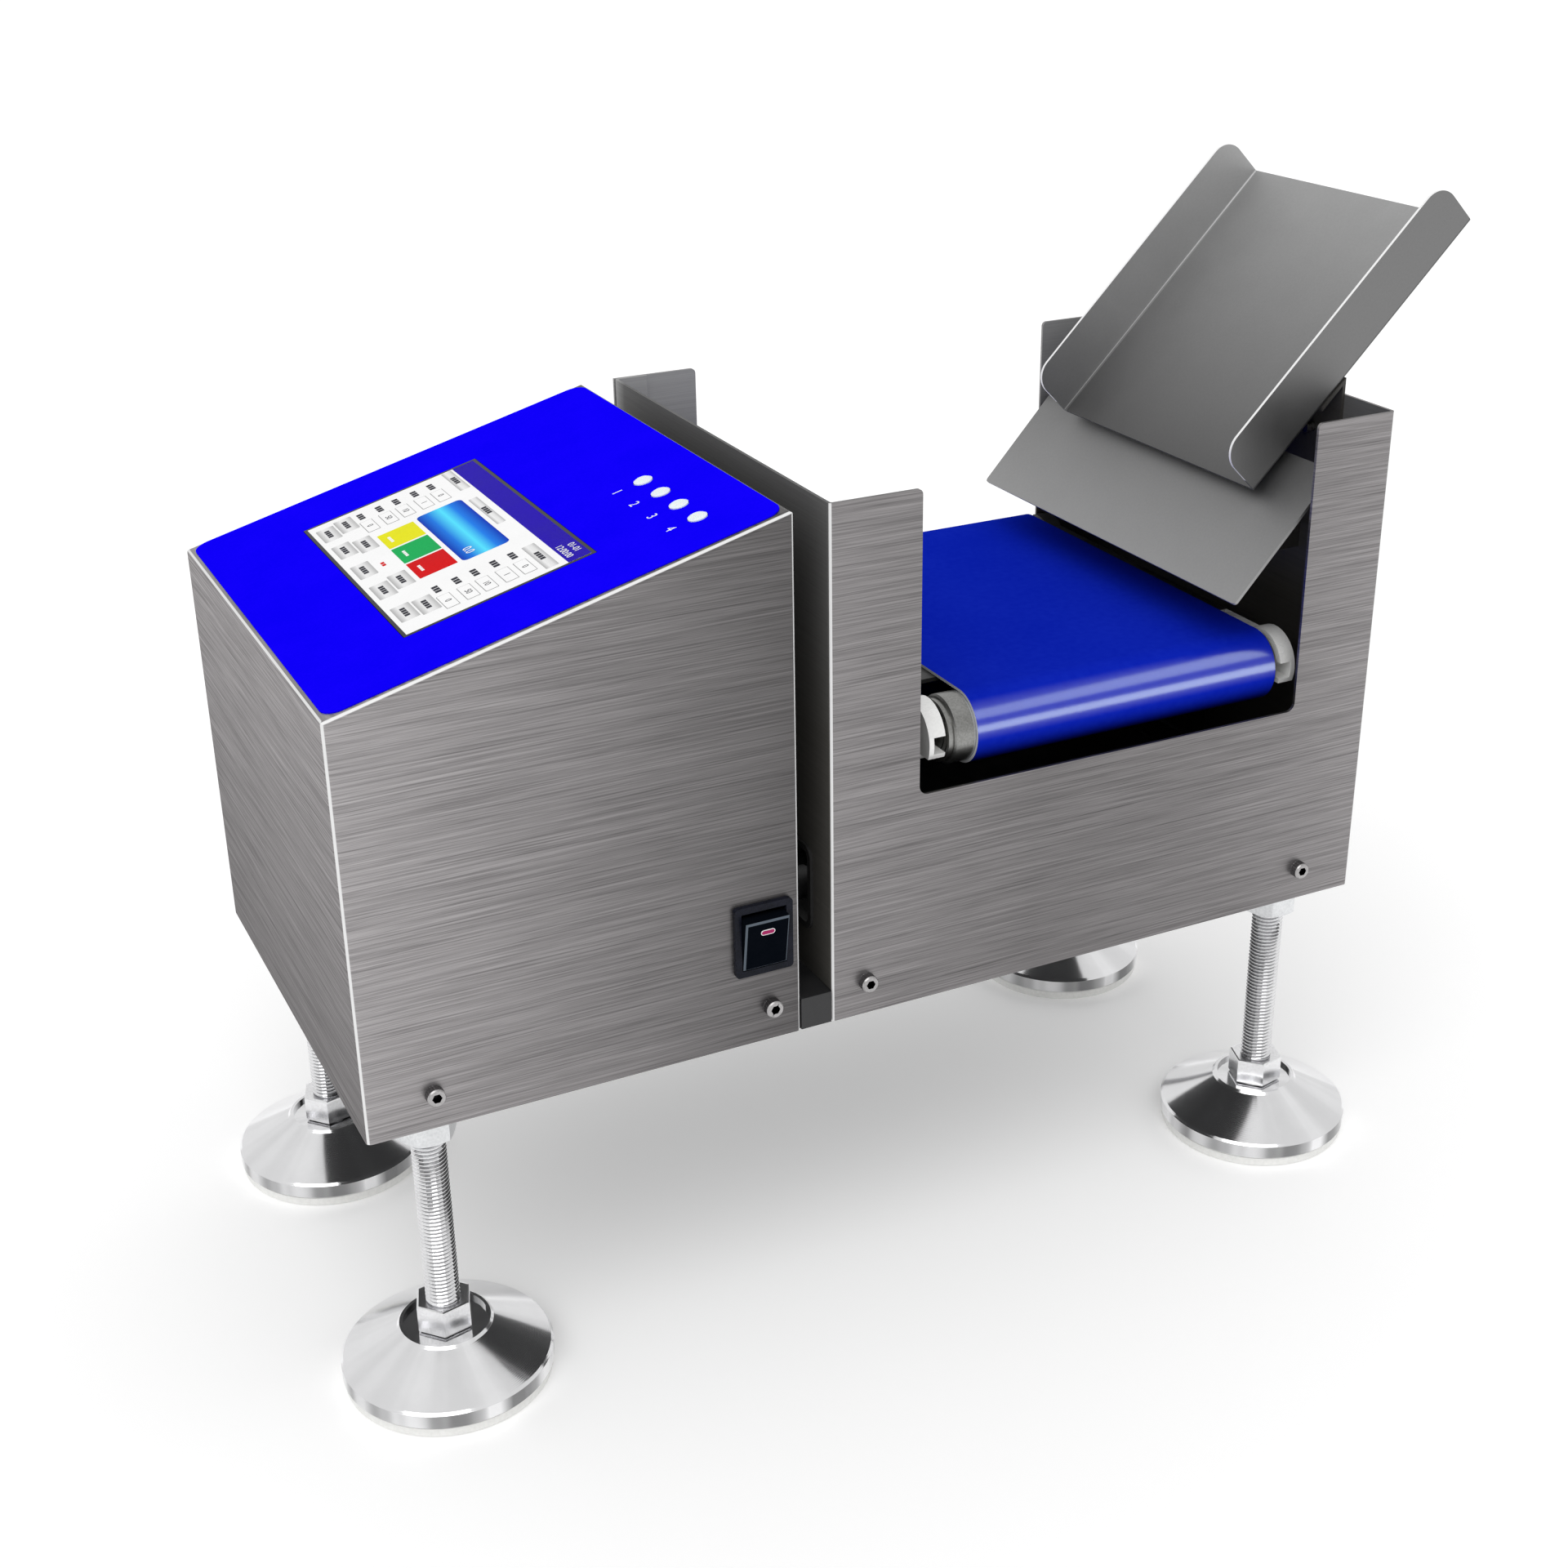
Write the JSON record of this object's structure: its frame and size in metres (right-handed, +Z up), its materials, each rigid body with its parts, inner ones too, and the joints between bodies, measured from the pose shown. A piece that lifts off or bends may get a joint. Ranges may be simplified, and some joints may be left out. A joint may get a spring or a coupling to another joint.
{
  "type": "checkweigher",
  "caption": "Bench checkweigher with a sloped touch panel, a short weigh belt in a sheet-metal guard, an infeed chute and levelling feet.",
  "frame": {"origin": "middle of the outline on the floor", "axes": "+X from the control box to the chute, +Y from the front to the rear, +Z up"},
  "size_m": [0.6054, 0.294, 0.4886],
  "materials": {
    "housing_steel": "brushed stainless sheet",
    "guard_steel": "brushed stainless sheet",
    "chute_steel": "matt stainless sheet",
    "carrier_steel": "plain stainless sheet",
    "tray_paint": "dark painted sheet",
    "foot_chrome": "polished chrome plate",
    "stud_chrome": "bright plated thread",
    "sole_rubber": "pale soft sole",
    "screw_steel": "plain stainless screws",
    "zinc_steel": "zinc-plated steel",
    "holder_steel": "bright machined steel",
    "roller_alu": "turned aluminium",
    "cell_alu": "plain aluminium",
    "plate_black": "black anodised",
    "motor_dark": "dark motor body",
    "belt_blue": "smooth blue belt",
    "film_blue": "printed blue film",
    "screen_glass": "black-backed glass",
    "case_plastic": "dark plastic",
    "switch_plastic": "glossy black plastic",
    "lens_red": "clear red lens",
    "lens_white": "white lens",
    "trim_rubber": "black edging",
    "board_green": "green circuit board"
  },
  "bodies": {
    "machine": {"control_housing": "housing_steel", "guard_shell": "guard_steel", "guard_back": "guard_steel", "chute_channel": "chute_steel", "chute_bracket": "chute_steel", "deflector_plate": "chute_steel", "deflector_gussets": "chute_steel", "weigh_bracket": "carrier_steel", "slider_bed": "carrier_steel", "base_tray": "tray_paint", "gap_bridge": "tray_paint", "lock_nuts": "stud_chrome", "cover_screws": "screw_steel", "conveyor_screws": "screw_steel", "chute_screws": "screw_steel", "stud_bosses": "zinc_steel", "cell_spacers": "zinc_steel", "overload_stops": "zinc_steel", "cross_ties": "zinc_steel", "screen_clamps": "zinc_steel", "drum_shaft": "zinc_steel", "idler_shaft": "zinc_steel", "drum_holders": "holder_steel", "tail_holders": "holder_steel", "load_cell": "cell_alu", "power_supply": "cell_alu", "side_plate_left": "plate_black", "side_plate_right": "plate_black", "drum_motor": "motor_dark", "belt": "belt_blue", "panel_film": "film_blue", "touch_screen": "screen_glass", "screen_case": "case_plastic", "motor_driver": "case_plastic", "cable_conduit": "case_plastic", "rocker_frame": "switch_plastic", "power_inlet": "switch_plastic", "lamp_lenses": "lens_white", "port_trims": "trim_rubber", "lamp_board": "board_green", "controller_board": "board_green"},
    "paddle": {"rocker_paddle": "switch_plastic", "rocker_lens": "lens_red"},
    "drum": {"drum_shell": "roller_alu", "drum_ends": "roller_alu"},
    "idler": {"idler_tube": "roller_alu", "idler_bearings": "zinc_steel"},
    "foot_front_left": {"stud_front_left": "stud_chrome", "foot_front_left": "foot_chrome", "sole_front_left": "sole_rubber"},
    "foot_front_right": {"stud_front_right": "stud_chrome", "foot_front_right": "foot_chrome", "sole_front_right": "sole_rubber"},
    "foot_rear_left": {"stud_rear_left": "stud_chrome", "foot_rear_left": "foot_chrome", "sole_rear_left": "sole_rubber"},
    "foot_rear_right": {"stud_rear_right": "stud_chrome", "foot_rear_right": "foot_chrome", "sole_rear_right": "sole_rubber"}
  },
  "joints": [
    {"name": "rocker_tilt", "type": "hinge", "parent": "machine", "child": "paddle", "pos_m": [-0.09872, -0.116, 0.2], "axis": [-1, 0, 0], "range_deg": [0, 18]},
    {"name": "drum_spin", "type": "hinge", "parent": "machine", "child": "drum", "pos_m": [0.09928, -0.09402, 0.27002], "axis": [1, 0, 0], "continuous": true},
    {"name": "idler_spin", "type": "hinge", "parent": "machine", "child": "idler", "pos_m": [0.09928, 0.11202, 0.27002], "axis": [1, 0, 0], "continuous": true},
    {"name": "level_front_left", "type": "slide", "parent": "machine", "child": "foot_front_left", "axis": [0, 0, 1], "range_m": [-0.012, 0.05]},
    {"name": "level_front_right", "type": "slide", "parent": "machine", "child": "foot_front_right", "axis": [0, 0, 1], "range_m": [-0.012, 0.05]},
    {"name": "level_rear_left", "type": "slide", "parent": "machine", "child": "foot_rear_left", "axis": [0, 0, 1], "range_m": [-0.012, 0.05]},
    {"name": "level_rear_right", "type": "slide", "parent": "machine", "child": "foot_rear_right", "axis": [0, 0, 1], "range_m": [-0.012, 0.05]}
  ],
  "couplings": [
    {"joint": "idler_spin", "follows": "drum_spin", "ratio": 1}
  ]
}
